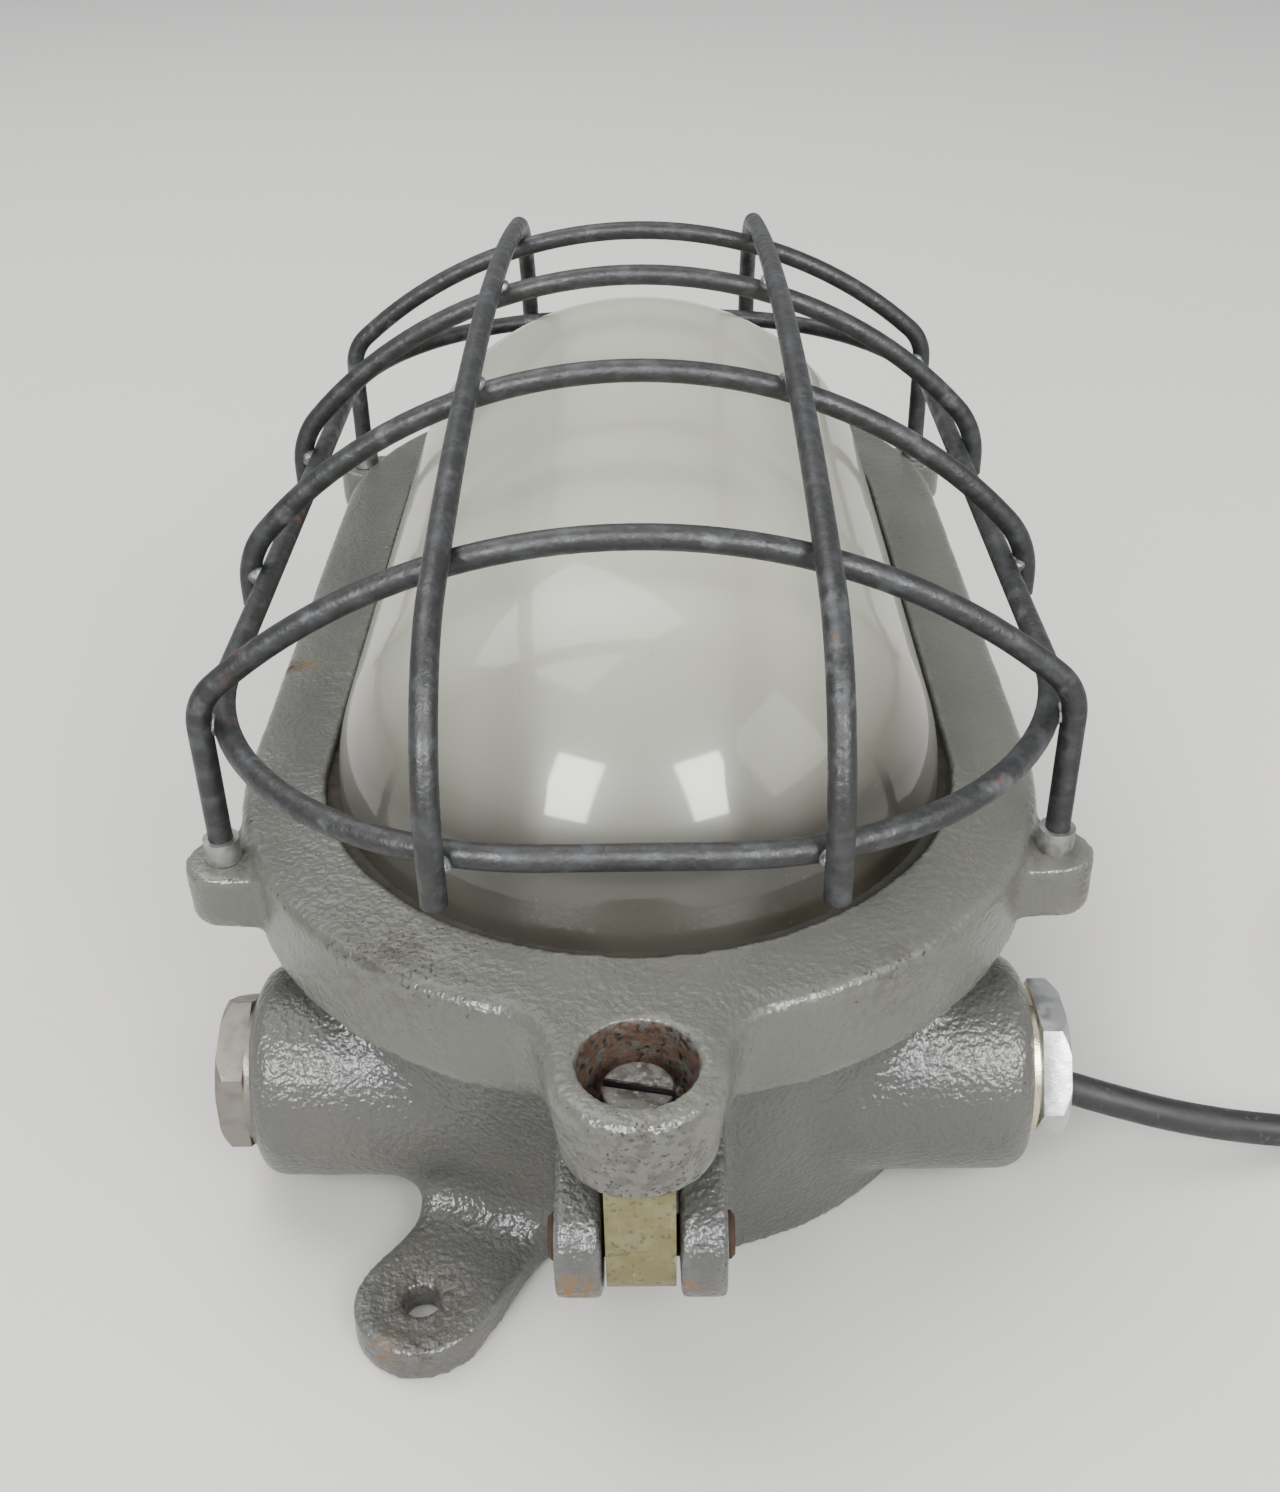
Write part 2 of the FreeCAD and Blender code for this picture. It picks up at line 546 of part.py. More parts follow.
def terminal_block():
    block = box((-22, 22), BLOCK_Y, BLOCK_Z)
    block = block.makeFillet(1.5, [e for e in block.Edges if abs(e.CenterOfMass.z - BLOCK_Z[1]) < 0.01])
    ways = [rod(CLAMP_R, V(x, BLOCK_Y[0], CLAMP_Z), V(x, BLOCK_Y[1], CLAMP_Z)) for x in TERMINAL_X]
    ways += [rod(2.2, V(x, CLAMP_Y, CLAMP_Z), V(x, CLAMP_Y, BLOCK_Z[1])) for x in TERMINAL_X]
    return block.cut(ways[0].multiFuse(ways[1:]))


def terminal_clamps():
    y0, y1 = BLOCK_Y[0] + 2, BLOCK_Y[1] - 2
    return [tube(CLAMP_R, 2.0, V(x, y0, CLAMP_Z), V(x, y1, CLAMP_Z)) for x in TERMINAL_X]


def terminal_screws():
    screws = []
    for x in TERMINAL_X:
        shank = rod(2.0, V(x, CLAMP_Y, CLAMP_Z + CLAMP_R), V(x, CLAMP_Y, BLOCK_Z[1] - 1))
        slot = box((x - 3, x + 3), (CLAMP_Y - 0.3, CLAMP_Y + 0.3), (BLOCK_Z[1] - 2, BLOCK_Z[1]))
        screws.append(shank.cut(slot))
    return screws


# ---- lead and plug ------------------------------------------------------------------------------
INNER_ROUTE = [V(58, ENTRY_Y, ENTRY_Z), V(74, ENTRY_Y, ENTRY_Z), EXIT]
ROUTE = [
    EXIT,
    V(103, -118.2, 16.9),
    V(121, -117.9, 10.9),
    V(141, -116.5, 6.0),
    V(164, -115.4, 3.8),
    V(190, -114.8, 3.6),
    V(216, -115, 3.6),
]
TAIL_TURN = radians(200)    # where the last turn leaves the coil
TAIL_HEADING = V(-sin(TAIL_TURN), cos(TAIL_TURN), 0)
TAIL_START = COIL_C + V(48.2 * cos(TAIL_TURN), 48.2 * sin(TAIL_TURN), 8.5)
TAIL_END = TAIL_START + TAIL_HEADING * 46.0 + Z * (PLUG_R + 0.1 - TAIL_START.z)


def coil():
    """Outer shape of the wound lead: a round bundle bent into a ring, open where the lead runs into it."""
    ring = Part.makeTorus(COIL_R, BUNDLE_R, COIL_C + Z * BUNDLE_R)
    leave = rod(CORD / 2, TAIL_START, TAIL_END)
    return fuse([ring, leave]).cut(lead(ROUTE, CORD / 2, "mains_cord"))


def along_plug(distance):
    return TAIL_END + TAIL_HEADING * distance


def plug_relief():
    return Part.makeCone(CORD / 2 + 1.0, BOOT_R, BOOT, TAIL_END, TAIL_HEADING)


def plug_body():
    grip = Part.makeCone(PLUG_GRIP_R, PLUG_R, GRIP - BOOT, along_plug(BOOT), TAIL_HEADING)
    return fuse([grip, rod(PLUG_R, along_plug(GRIP), along_plug(PLUG_END))])


def plug_pins():
    side = TAIL_HEADING.cross(Z).normalize()
    pins = []
    for s in (1, -1):
        start = along_plug(PLUG_END) + side * s * PLUG_PIN_X
        tip = start + TAIL_HEADING * PLUG_PIN
        pin = rod(PLUG_PIN_R, start, tip)
        ends = [e for e in pin.Edges if (e.CenterOfMass - tip).Length < 0.1]
        pins.append(pin.makeFillet(PLUG_PIN_R / 2, ends))
    return pins


# ---- every sub-part -----------------------------------------------------------------------------
def core(start, middle, end):
    return lead([start, middle, end], 1.4, "core")


def nodes():
    seat = BOSS_SEAT
    yield "base_housing", base_housing()
    yield "hinge_pin", riveted_pin(HINGE_PIN_R, KNUCKLE_X[1] + 0.1, HINGE_Y, HINGE_Z, 4.2, 1.6)
    yield "swing_nut", swing_nut()
    yield "swing_nut_pin", riveted_pin(PIN_R, EAR_X[1] + 0.1, SCREW_Y, PIN_Z, 4.4, 1.3)
    yield "closing_washer", tube(SCREW_WASHER_R, 4.2, V(0, SCREW_Y, seat), V(0, SCREW_Y, seat + SCREW_WASHER))
    yield "closing_screw", closing_screw()
    yield "cover_ring", cover_ring()
    gasket_r = (RING_R - RING_SKIRT - 0.2, COLLAR_R + 0.2)
    yield "cover_gasket", band(*gasket_r, RIM_TOP + 0.3, RING_TOP - RING_PLATE)
    yield "glass_dome", glass_dome()
    yield "glass_cement", band(OPENING_R, GLASS_R, GLASS_BOTTOM + 1, RING_TOP - 2)
    yield "cage_front_hoop", hoop(-END_HOOP_Y, END_LEG_X, CAGE_EAR_Z[0] - 1, END_CORNER_R, END_ARCH_R)
    yield "cage_second_hoop", hoop(-MID_HOOP_Y, MID_LEG_X, WIRE_END_Z, MID_CORNER_R, MID_ARCH_R)
    yield "cage_third_hoop", hoop(MID_HOOP_Y, MID_LEG_X, WIRE_END_Z, MID_CORNER_R, MID_ARCH_R)
    yield "cage_rear_hoop", hoop(END_HOOP_Y, END_LEG_X, CAGE_EAR_Z[0] - 1, END_CORNER_R, END_ARCH_R)
    yield "cage_left_bar", bar(-BAR_X)
    yield "cage_right_bar", bar(BAR_X)
    yield "cage_belt", belt()
    yield "cage_leg_collars", Part.makeCompound(leg_collars())
    yield "blank_plug", entry_fitting(-1, 0, (81.5, 87.5), radians(25))
    yield "blank_plug_washer", entry_washer(-1, 1.5, 16.0)
    yield "gland_nut", entry_fitting(1, 9.5, (82.2, 88.0), radians(58))
    yield "gland_washer", entry_washer(1, 1.3, 16.3)
    yield "gland_seal", tube(ENTRY_BORE - 0.2, CORD / 2, V(60, ENTRY_Y, ENTRY_Z), V(66, ENTRY_Y, ENTRY_Z))
    yield "tray", tray()
    screws = [pan_screw(x, y, TRAY_Z + 1, 3.6, 2.4, 1.55, 8) for x, y in TRAY_FIXINGS]
    yield "tray_screws", Part.makeCompound(screws)
    yield "lampholder_body", lampholder_body()
    yield "lampholder_shell", tube(14.2, 13.5, on_axis(56), on_axis(84))
    yield "lampholder_contact", rod(4.0, on_axis(89), on_axis(92))
    yield "lampholder_bracket", lampholder_bracket()
    yield "bulb_glass", bulb_glass()
    cap = rod(13.3, on_axis(BULB_NECK_Y), on_axis(82))
    yield "bulb_cap", fuse([cap, Part.makeCone(13.3, 9.0, 2.0, on_axis(82), Y)])
    button = rod(4.0, on_axis(87), on_axis(89))
    yield "bulb_contact", fuse([Part.makeCone(9.0, 5.0, 3.0, on_axis(84), Y), button])
    yield "terminal_block", terminal_block()
    yield "terminal_clamps", Part.makeCompound(terminal_clamps())
    yield "terminal_screws", Part.makeCompound(terminal_screws())
    yield "earth_screw", pan_screw(*EARTH_AT, EARTH_Z + EARTH_WASHER, 4.5, 3.0, 2.0, 7)
    yield "earth_washer", tube(5.5, 2.1, V(*EARTH_AT, EARTH_Z), V(*EARTH_AT, EARTH_Z + EARTH_WASHER))
    for name, k in (("live", 2), ("neutral", 0)):
        x = TERMINAL_X[k]
        yield f"{name}_core", core(V(x, -92, CLAMP_Z), V(x, 4, 9), V(x * 0.7, 100, 9))
    yield "mains_cord_inner", lead(INNER_ROUTE, CORD / 2, "mains_cord_inner")
    yield "mains_cord", lead(ROUTE, CORD / 2, "mains_cord")
    yield "mains_cord_coil", coil()
    yield "mains_plug_relief", plug_relief()
    yield "mains_plug_body", plug_body()
    yield "mains_plug_pins", Part.makeCompound(plug_pins())


os.makedirs("parts", exist_ok=True)
for node, shape in nodes():
    solids = shape.Solids
    print(f"{node}: {len(solids)} solid(s), {shape.Volume / 1000:.2f} cm3, valid {shape.isValid()}")
    shape.exportStep(f"parts/{node}.step")
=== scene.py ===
"""Looks of the oblong bulkhead light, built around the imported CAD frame."""

import math

import bmesh
import bpy
import numpy as np
from mathutils import Matrix, Vector, noise
from mathutils.bvhtree import BVHTree


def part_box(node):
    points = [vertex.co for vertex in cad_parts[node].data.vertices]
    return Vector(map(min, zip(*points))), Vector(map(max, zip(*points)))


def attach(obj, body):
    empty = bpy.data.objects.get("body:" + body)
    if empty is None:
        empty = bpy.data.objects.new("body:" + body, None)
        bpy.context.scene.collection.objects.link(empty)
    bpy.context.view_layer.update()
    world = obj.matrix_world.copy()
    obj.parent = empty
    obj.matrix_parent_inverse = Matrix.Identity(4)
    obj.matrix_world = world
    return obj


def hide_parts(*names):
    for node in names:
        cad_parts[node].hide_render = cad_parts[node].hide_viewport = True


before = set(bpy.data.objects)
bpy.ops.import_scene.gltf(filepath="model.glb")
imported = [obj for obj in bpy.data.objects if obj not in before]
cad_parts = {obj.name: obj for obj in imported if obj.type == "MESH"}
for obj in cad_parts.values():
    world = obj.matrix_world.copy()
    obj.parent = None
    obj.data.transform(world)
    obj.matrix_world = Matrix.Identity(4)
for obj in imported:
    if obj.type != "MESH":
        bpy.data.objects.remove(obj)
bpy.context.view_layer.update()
MM = 0.001

# ---- camera and cord ----------------------------------------------------------------------------
# The camera's place is in millimetres, its angles are in degrees, and its focal length is in pixels.
IMAGE_HEIGHT = 1492
CAMERA_AT = Vector((4.0, -373.3, 272.6)) * MM
CAMERA_PITCH, CAMERA_YAW, CAMERA_ROLL = 32.52, -0.686, -1.146
FOCAL_PX = 1629.5
SENSOR = 36.0


def add_camera():
    pitch, yaw, roll = (math.radians(a) for a in (CAMERA_PITCH, CAMERA_YAW, CAMERA_ROLL))
    ahead = Vector((math.sin(yaw) * math.cos(pitch), math.cos(yaw) * math.cos(pitch), -math.sin(pitch)))
    level = Vector((math.cos(yaw), -math.sin(yaw), 0.0))
    above = level.cross(ahead)
    right = level * math.cos(roll) + above * math.sin(roll)
    up = above * math.cos(roll) - level * math.sin(roll)
    data = bpy.data.cameras.new("camera")
    data.sensor_fit = "AUTO"
    data.sensor_width = SENSOR
    data.lens = FOCAL_PX / IMAGE_HEIGHT * SENSOR
    data.clip_start = 0.01
    camera = bpy.data.objects.new("camera", data)
    camera.matrix_world = Matrix.Translation(CAMERA_AT) @ Matrix((right, up, -ahead)).transposed().to_4x4()
    bpy.context.collection.objects.link(camera)
    bpy.context.scene.camera = camera


add_camera()

CORD_D = 7.0 * MM
ROUTE = [
    (88.0, -117.5, 22.5),
    (103, -118.2, 16.9),
    (121, -117.9, 10.9),
    (141, -116.5, 6.0),
    (164, -115.4, 3.8),
    (190, -114.8, 3.6),
    (216, -115, 3.6),
]
COIL_C = Vector((222.0, -73.5, 0.0))
COIL_R = 41.5             # of the middle of the bundle
BUNDLE_R = 7.1            # from the middle of the bundle to the middle of a turn
COIL_TURNS = 4.0 + 290 / 360
TURN_POINTS = 20
TAIL_LENGTH = 46.0
TAIL_RISE = 0.72          # how much of the rise to the plug is done half way along the tail
PLUG_R = 18.5
CLEARANCE = 0.1           # between the floor and what lies on it


def coil_points():
    """Turns that lie beside and on each other: each turn moves a sixth of the way round the bundle."""
    points = []
    steps = round(COIL_TURNS * TURN_POINTS)
    for k in range(steps + 1):
        turns = COIL_TURNS * k / steps
        angle = 2 * math.pi * turns - math.pi / 2
        around = -math.pi / 2 - turns * math.pi / 3
        r = COIL_R + BUNDLE_R * math.cos(around)
        z = CORD_D / MM / 2 + CLEARANCE + BUNDLE_R * (1 + math.sin(around))
        points.append(COIL_C + Vector((r * math.cos(angle), r * math.sin(angle), z)))
    return points


def cord_line():
    """Points of the whole lead, and the level direction in which it reaches the plug."""
    coil = coil_points()
    leaves = 2 * math.pi * COIL_TURNS - math.pi / 2
    heading = Vector((-math.sin(leaves), math.cos(leaves), 0.0))
    end = coil[-1] + heading * TAIL_LENGTH
    end.z = PLUG_R + CLEARANCE
    mid = coil[-1] + heading * TAIL_LENGTH * 0.5
    mid.z = coil[-1].z + (end.z - coil[-1].z) * TAIL_RISE
    return [Vector(p) for p in ROUTE] + coil[1:] + [mid, end], heading


def add_cord():
    line, heading = cord_line()
    curve = bpy.data.curves.new("lead", "CURVE")
    curve.dimensions = "3D"
    spline = curve.splines.new("NURBS")
    spline.points.add(len(line) - 1)
    for point, at in zip(spline.points, line):
        point.co = (*(at * MM), 1.0)
    spline.order_u = 3
    spline.use_endpoint_u = True
    curve.bevel_depth = CORD_D / 2
    curve.bevel_resolution = 6
    curve.resolution_u = 10
    lead = bpy.data.objects.new("lead", curve)
    bpy.context.collection.objects.link(lead)
    return lead, line[-1], heading


# ---- materials ----------------------------------------------------------------------------------
class Look:
    """One procedural material being built from nodes. Sizes are in millimetres."""

    def __init__(self, name, color, rough, metal=0.0):
        self.mat = bpy.data.materials.new(name)
        self.mat.use_nodes = True
        self.tree = self.mat.node_tree
        self.shader = self.tree.nodes["Principled BSDF"]
        self.coords = self.add("ShaderNodeTexCoord").outputs["Object"]
        self.color, self.rough, self.normal = color, rough, None
        self.shader.inputs["Base Color"].default_value = (*color, 1)
        self.shader.inputs["Roughness"].default_value = rough
        self.shader.inputs["Metallic"].default_value = metal

    def add(self, kind, **settings):
        node = self.tree.nodes.new(kind)
        for key, value in settings.items():
            setattr(node, key, value)
        return node

    def feed(self, value, socket):
        """Link an output, or set a plain value."""
        if isinstance(value, bpy.types.NodeSocket):
            self.tree.links.new(value, socket)
        elif isinstance(value, tuple):
            needs_alpha = len(value) == 3 and len(socket.default_value) == 4
            socket.default_value = (*value, 1) if needs_alpha else value
        else:
            socket.default_value = value

    def placed(self, stretch, seed):
        mapping = self.add("ShaderNodeMapping")
        mapping.inputs["Location"].default_value = (seed, seed * 1.7, -seed)
        mapping.inputs["Scale"].default_value = stretch
        self.feed(self.coords, mapping.inputs["Vector"])
        return mapping.outputs["Vector"]

    def noise(self, size, detail=3.0, stretch=(1, 1, 1), seed=0.0, rough=0.55):
        tex = self.add("ShaderNodeTexNoise")
        self.feed(self.placed(stretch, seed), tex.inputs["Vector"])
        tex.inputs["Scale"].default_value = 1000.0 / size
        tex.inputs["Detail"].default_value = detail
        tex.inputs["Roughness"].default_value = rough
        return tex.outputs["Fac"]

    def attribute(self, name):
        return self.add("ShaderNodeAttribute", attribute_name=name).outputs["Fac"]

    def step(self, value, low, high, start=0.0, end=1.0):
        """Smooth change from start to end as value goes from low to high."""
        node = self.add("ShaderNodeMapRange", interpolation_type="SMOOTHSTEP")
        self.feed(value, node.inputs["Value"])
        for key, number in (("From Min", low), ("From Max", high), ("To Min", start), ("To Max", end)):
            node.inputs[key].default_value = number
        return node.outputs["Result"]

    def math(self, operation, a, b):
        node = self.add("ShaderNodeMath", operation=operation, use_clamp=operation in ("ADD", "MULTIPLY"))
        self.feed(a, node.inputs[0])
        self.feed(b, node.inputs[1])
        return node.outputs[0]

    def paint(self, mask, color):
        """Lay a colour over what is there, where mask is 1."""
        node = self.add("ShaderNodeMix", data_type="RGBA")
        self.feed(mask, node.inputs["Factor"])
        self.feed(self.color, node.inputs["A"])
        self.feed(color, node.inputs["B"])
        self.color = node.outputs["Result"]

    def roughen(self, mask, rough):
        node = self.add("ShaderNodeMix", data_type="FLOAT")
        self.feed(mask, node.inputs["Factor"])
        self.feed(self.rough, node.inputs["A"])
        node.inputs["B"].default_value = rough
        self.rough = node.outputs["Result"]

    def bump(self, height, depth, strength=1.0):
        """Bump of the given depth in millimetres."""
        node = self.add("ShaderNodeBump")
        node.inputs["Strength"].default_value = strength
        node.inputs["Distance"].default_value = depth * MM
        self.feed(height, node.inputs["Height"])
        if self.normal is not None:
            self.feed(self.normal, node.inputs["Normal"])
        self.normal = node.outputs["Normal"]

    def sink(self, mask, depth):
        self.bump(self.math("SUBTRACT", 1.0, mask), depth)

    def done(self):
        self.feed(self.color, self.shader.inputs["Base Color"])
        self.feed(self.rough, self.shader.inputs["Roughness"])
        if self.normal is not None:
            self.feed(self.normal, self.shader.inputs["Normal"])
        return self.mat


RUST = (0.085, 0.034, 0.011)
DARK_RUST = (0.028, 0.013, 0.008)
BARE_IRON = (0.030, 0.024, 0.020)
OCHRE = (0.19, 0.105, 0.035)


def casting_paint(name, base, sparkle):
    """Old grey enamel over sand-cast iron: orange peel, chips at edges, rust in pits, painted shade in
    hollows and a painted highlight along edges.
    """
    look = Look(name, base, 0.31)
    shade = look.noise(38, 2, seed=3.1)
    look.paint(look.step(shade, 0.35, 0.7, 0.0, 0.5), tuple(c * 0.84 for c in base))
    warm = look.noise(60, 3, seed=7.7)
    look.paint(look.step(warm, 0.5, 0.75, 0.0, 0.35), (0.165, 0.150, 0.115))
    # Painted shade: the colour is darker in the hollows.
    hollow_shade = look.math("MULTIPLY", look.attribute("hollow"), look.step(look.noise(9, 4, seed=1.3), 0.3, 0.65))
    look.paint(look.math("MULTIPLY", hollow_shade, 0.55), (0.075, 0.068, 0.055))
    # Painted highlight: the paint is lighter, and glossier, along the edges.
    edge_highlight = look.math("MULTIPLY", look.attribute("edge"),
                     look.step(look.noise(6, 3, seed=5.0), 0.35, 0.6, 0.0, 0.55))
    look.paint(edge_highlight, tuple(min(1.0, c * 1.5) for c in base))
    look.roughen(edge_highlight, 0.22)
    grain = look.noise(1.25, 1.5, seed=0.4, rough=0.5)
    coarse = look.noise(3.4, 2, seed=2.2)
    look.bump(coarse, 0.45, 0.6)
    look.bump(grain, 0.36 + 0.20 * sparkle, 0.9)
    specks = look.step(look.noise(0.9, 2, seed=9.1), 0.66, 0.74)
    look.paint(look.math("MULTIPLY", specks, 0.35), (0.09, 0.085, 0.075))
    field = look.step(look.noise(22, 3, seed=4.4), 0.52, 0.68)
    reach = look.math("ADD", look.math("MULTIPLY", field, 0.05),
                      look.math("MULTIPLY", look.attribute("edge"), 0.055))
    reach = look.math("ADD", reach, look.math("MULTIPLY", look.attribute("worn"), 0.085))
    chips = look.step(look.math("ADD", look.noise(1.1, 4, seed=6.6, rough=0.6), reach), 0.715, 0.74)
    look.paint(chips, BARE_IRON)
    look.roughen(chips, 0.7)
    look.sink(chips, 0.22)
    stain = look.math("MULTIPLY", look.attribute("rust"), look.step(look.noise(2.6, 5, seed=8.2), 0.36, 0.56))
    look.paint(stain, RUST)
    bleed = look.math("MULTIPLY", look.attribute("rust"), look.step(look.noise(1.4, 4, seed=2.9), 0.5, 0.62))
    look.paint(bleed, DARK_RUST)
    scuff = look.math("MULTIPLY", look.attribute("worn"),
                      look.step(look.noise(2.4, 5, seed=3.3), 0.44, 0.58, 0.0, 0.7))
    look.paint(scuff, (0.062, 0.052, 0.040))
    ochre = look.math("MULTIPLY", look.attribute("tan"), look.step(look.noise(1.8, 4, seed=1.9), 0.46, 0.55))
    look.paint(ochre, OCHRE)
    look.roughen(look.math("ADD", stain, ochre), 0.85)
    return look.done()


def wire_steel():
    """Hot-dipped wire gone dark: bluish streaks, pale rubbed spots, a little red rust."""
    look = Look("cage_wire", (0.019, 0.020, 0.020), 0.42, 0.2)
    streaks = look.noise(6, 5, seed=1.0, stretch=(1, 1, 1.6))
    look.paint(look.step(streaks, 0.46, 0.70, 0.0, 0.6), (0.062, 0.067, 0.075))
    look.paint(look.step(look.noise(1.3, 4, seed=2.0), 0.58, 0.70, 0.0, 0.55), (0.045, 0.043, 0.041))
    look.paint(look.step(look.noise(13, 4, seed=5.0), 0.62, 0.72, 0.0, 0.5), (0.17, 0.175, 0.18))
    rust = look.math("MULTIPLY", look.step(look.noise(24, 3, seed=8.0), 0.66, 0.74),
                     look.step(look.noise(2.0, 4, seed=3.0), 0.48, 0.6))
    look.paint(rust, (0.15, 0.055, 0.03))
    look.roughen(look.step(look.noise(3, 4, seed=4.0), 0.4, 0.7), 0.6)
    look.bump(look.noise(1.6, 4, seed=6.0), 0.22)
    look.bump(look.noise(5, 3, seed=7.0), 0.35, 0.6)
    return look.done()


def glass_look():
    """Opal glass with a fine matt inside, glossy outside, and a painted reflection of the dark table:
    near-black olive low down, at the ends most.
    """
    look = Look("opal_glass", (0.575, 0.575, 0.475), 0.42)
    # Painted reflection of the dark table below: near-black olive where low is high.
    look.paint(look.attribute("low"), (0.022, 0.019, 0.009))
    look.paint(look.step(look.noise(55, 2, seed=2.0), 0.4, 0.7, 0.0, 0.12), (0.50, 0.49, 0.42))
    specks = look.step(look.noise(1.3, 2, seed=4.0), 0.70, 0.74)
    look.paint(look.math("MULTIPLY", specks, 0.35), (0.19, 0.17, 0.12))
    look.shader.inputs["Transmission Weight"].default_value = 0.10
    look.shader.inputs["IOR"].default_value = 1.5
    look.shader.inputs["Coat Weight"].default_value = 0.65
    look.shader.inputs["Coat Roughness"].default_value = 0.07
    look.bump(look.noise(26, 2, seed=1.0), 0.12, 0.6)
    look.bump(look.noise(0.8, 2, seed=3.0), 0.012, 0.6)
    return look.done()


def bare_metal(name, color, rough, metal=0.85, dirt=(0.10, 0.09, 0.075), amount=0.5, grain=0.6, depth=0.05):
    """Machined or plated metal with fine scratches, blotches and dirt."""
    look = Look(name, color, rough, metal)
    look.paint(look.step(look.noise(4.5, 5, seed=1.5), 0.45, 0.7, 0.0, amount), dirt)
    blotches = look.step(look.noise(12, 3, seed=2.5), 0.4, 0.65, 0.0, 0.4)
    look.paint(blotches, tuple(min(1.0, c * 1.25) for c in color))
    look.roughen(look.step(look.noise(3.0, 4, seed=3.5), 0.4, 0.65), min(1.0, rough + 0.25))
    look.bump(look.noise(grain, 3, stretch=(1, 1, 4), seed=4.5), depth)
    look.bump(look.noise(2.5, 4, seed=5.5), depth * 2)
    return look.done()


# Top of the painted shade on the screw.
SLOT_SHADE_TOP = 71.6 * MM     # the screw is dark below this height: slot and flank


def screw_iron():
    """Worn iron with dark and pale patches, rust, and painted shade in the slot and on the flank."""
    look = Look("screw_iron", (0.125, 0.120, 0.110), 0.5, 0.4)
    look.paint(look.step(look.noise(2.6, 5, seed=1.5), 0.42, 0.6, 0.0, 0.9), (0.045, 0.040, 0.035))
    look.paint(look.step(look.noise(1.2, 4, seed=2.5), 0.55, 0.68, 0.0, 0.8), (0.26, 0.25, 0.23))
    look.paint(look.step(look.noise(5, 4, seed=6.5), 0.56, 0.7, 0.0, 0.7), DARK_RUST)
    height = look.add("ShaderNodeSeparateXYZ")
    look.feed(look.coords, height.inputs[0])
    # Painted shade: near black below the slot's top height, in the slot and on the flank.
    slot_shade = look.step(height.outputs["Z"], SLOT_SHADE_TOP - 0.3 * MM, SLOT_SHADE_TOP, 1.0, 0.0)
    look.paint(slot_shade, (0.012, 0.011, 0.010))
    look.bump(look.noise(0.9, 4, seed=4.5), 0.12)
    return look.done()


def nut_zinc():
    """Yellow-passivated block gone pale green, with specks and scratches."""
    look = Look("nut_zinc", (0.155, 0.138, 0.050), 0.5, 0.1)
    look.paint(look.step(look.noise(5, 4, seed=1.0), 0.42, 0.68, 0.0, 0.8), (0.215, 0.20, 0.105))
    look.paint(look.step(look.noise(1.2, 4, seed=3.0), 0.57, 0.64, 0.0, 0.8), (0.085, 0.072, 0.035))
    scratches = look.noise(2.0, 5, stretch=(1, 1, 0.25), seed=6.0)
    look.paint(look.step(scratches, 0.64, 0.70, 0.0, 0.4), (0.42, 0.40, 0.27))
    look.bump(look.noise(0.8, 3, seed=4.0), 0.05)
    return look.done()


def rubber(name, color, rough, grain=0.7, depth=0.05):
    """Black rubber or plastic with a grey bloom and dust."""
    look = Look(name, color, rough)
    bloom = look.step(look.noise(18, 3, seed=1.0), 0.45, 0.7, 0.0, 0.45)
    look.paint(bloom, tuple(c * 1.9 + 0.012 for c in color))
    look.paint(look.step(look.noise(1.4, 3, seed=2.0), 0.62, 0.7, 0.0, 0.35), (0.13, 0.12, 0.105))
    look.roughen(look.step(look.noise(6, 3, seed=3.0), 0.4, 0.65), min(1.0, rough + 0.2))
    look.bump(look.noise(grain, 2, seed=4.0), depth)
    return look.done()


def plain_look(name, color, rough, metal=0.0, tint=None, size=14, depth=0.03, coat=0.0):
    """Moulded, glazed or enamelled surface: slow tint change, dust specks and a fine skin."""
    look = Look(name, color, rough, metal)
    clouds = look.step(look.noise(size, 3, seed=1.1), 0.4, 0.7, 0.0, 0.5)
    look.paint(clouds, tint or tuple(c * 0.82 for c in color))
    specks = look.step(look.noise(1.1, 3, seed=2.1), 0.66, 0.73, 0.0, 0.4)
    look.paint(specks, tuple(c * 0.5 for c in color))
    look.roughen(look.step(look.noise(size / 2, 3, seed=3.1), 0.4, 0.7), min(1.0, rough + 0.15))
    look.bump(look.noise(0.9, 2, seed=4.1), depth)
    look.shader.inputs["Coat Weight"].default_value = coat
    return look.done()


def weld_look():
    """Grey lumps with dark patches and bright spatter."""
    look = Look("weld", (0.20, 0.205, 0.205), 0.45, 0.7)
    look.paint(look.step(look.noise(2.0, 4, seed=1.0), 0.45, 0.62, 0.0, 0.8), (0.06, 0.056, 0.052))
    look.paint(look.step(look.noise(3.5, 4, seed=2.0), 0.52, 0.66, 0.0, 0.8), (0.42, 0.43, 0.43))
    look.bump(look.noise(1.2, 4, seed=3.0), 0.3)
    return look.done()


# ---- mesh helpers -------------------------------------------------------------------------------
def add_object(name, mesh, material=None, smooth=True):
    piece = bpy.data.objects.new(name, mesh)
    bpy.context.collection.objects.link(piece)
    if material:
        mesh.materials.clear()
        mesh.materials.append(material)
    if smooth:
        mesh.polygons.foreach_set("use_smooth", [True] * len(mesh.polygons))
    return piece


def evaluated(piece):
    """The piece's mesh with its modifiers applied."""
    graph = bpy.context.evaluated_depsgraph_get()
    return bpy.data.meshes.new_from_object(piece.evaluated_get(graph))


def coordinates(mesh):
    flat = np.empty(len(mesh.vertices) * 3, dtype=np.float32)
    mesh.vertices.foreach_get("co", flat)
    return flat.reshape(-1, 3).astype(np.float64)


def set_coordinates(mesh, points):
    mesh.vertices.foreach_set("co", points.astype(np.float32).ravel())
    mesh.update()


